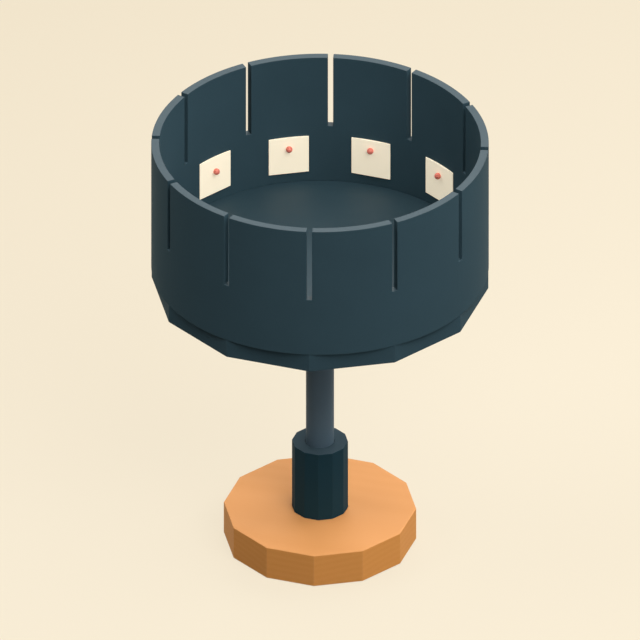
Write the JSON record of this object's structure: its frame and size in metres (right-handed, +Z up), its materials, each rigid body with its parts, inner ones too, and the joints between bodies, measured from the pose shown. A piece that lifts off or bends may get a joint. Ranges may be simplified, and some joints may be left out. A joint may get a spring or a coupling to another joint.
{
  "type": "zoetrope",
  "caption": "Table-top zoetrope: an open slotted drum with small picture tiles inside its wall, turned by hand on a column that runs in ball bearings above a flat many-sided base.",
  "frame": {"origin": "middle of the underside, on the surface that the felt pad rests on", "axes": "+Z up along the axis that the drum turns on; -Y towards the front slot, between the two pictures where the ball is lowest; corners of the base, sleeve and plate on +X and every 30 degrees from it"},
  "size_m": [0.24, 0.24, 0.3293],
  "materials": {
    "base_wood": "satin",
    "felt": "matte",
    "sleeve_enamel": "matte",
    "column_enamel": "satin",
    "hub_enamel": "matte",
    "drum_plastic": "matte",
    "tile_card": "matte",
    "ball_enamel": "satin",
    "bearing_steel": "polished",
    "fastener_steel": "satin",
    "cage_brass": "satin"
  },
  "bodies": {
    "stand": {"felt_pad": "felt", "base_block": "base_wood", "bearing_sleeve": "sleeve_enamel", "sleeve_screws": "fastener_steel", "retaining_ring": "fastener_steel", "outer_spacer": "fastener_steel", "upper_outer_race": "bearing_steel", "lower_outer_race": "bearing_steel", "upper_shields": "fastener_steel", "lower_shields": "fastener_steel"},
    "drum": {"upper_inner_race": "bearing_steel", "lower_inner_race": "bearing_steel", "inner_spacer": "fastener_steel", "spindle": "fastener_steel", "spindle_washer": "fastener_steel", "lock_nut": "fastener_steel", "column_tube": "column_enamel", "column_plug": "fastener_steel", "drum_hub": "hub_enamel", "hub_set_screws": "fastener_steel", "hub_screws": "fastener_steel", "drum_plate": "drum_plastic", "drum_wall": "drum_plastic", "wall_screws": "fastener_steel", "picture_tile_01": "tile_card", "picture_tile_02": "tile_card", "picture_tile_03": "tile_card", "picture_tile_04": "tile_card", "picture_tile_05": "tile_card", "picture_tile_06": "tile_card", "picture_tile_07": "tile_card", "picture_tile_08": "tile_card", "picture_tile_09": "tile_card", "picture_tile_10": "tile_card", "picture_tile_11": "tile_card", "picture_tile_12": "tile_card", "ball_pin_01": "ball_enamel", "ball_pin_02": "ball_enamel", "ball_pin_03": "ball_enamel", "ball_pin_04": "ball_enamel", "ball_pin_05": "ball_enamel", "ball_pin_06": "ball_enamel", "ball_pin_07": "ball_enamel", "ball_pin_08": "ball_enamel", "ball_pin_09": "ball_enamel", "ball_pin_10": "ball_enamel", "ball_pin_11": "ball_enamel", "ball_pin_12": "ball_enamel"},
    "upper_ball_set": {"upper_ball_cage": "cage_brass", "upper_balls": "bearing_steel"},
    "lower_ball_set": {"lower_ball_cage": "cage_brass", "lower_balls": "bearing_steel"}
  },
  "joints": [
    {"name": "drum_spin", "type": "hinge", "parent": "stand", "child": "drum", "pos_m": [0, 0, 0.08], "axis": [0, 0, 1], "continuous": true},
    {"name": "upper_balls_orbit", "type": "hinge", "parent": "stand", "child": "upper_ball_set", "pos_m": [0, 0, 0.068], "axis": [0, 0, 1], "continuous": true},
    {"name": "lower_balls_orbit", "type": "hinge", "parent": "stand", "child": "lower_ball_set", "pos_m": [0, 0, 0.034], "axis": [0, 0, 1], "continuous": true}
  ],
  "couplings": [
    {"joint": "upper_balls_orbit", "follows": "drum_spin", "ratio": 0.381},
    {"joint": "lower_balls_orbit", "follows": "drum_spin", "ratio": 0.381}
  ]
}
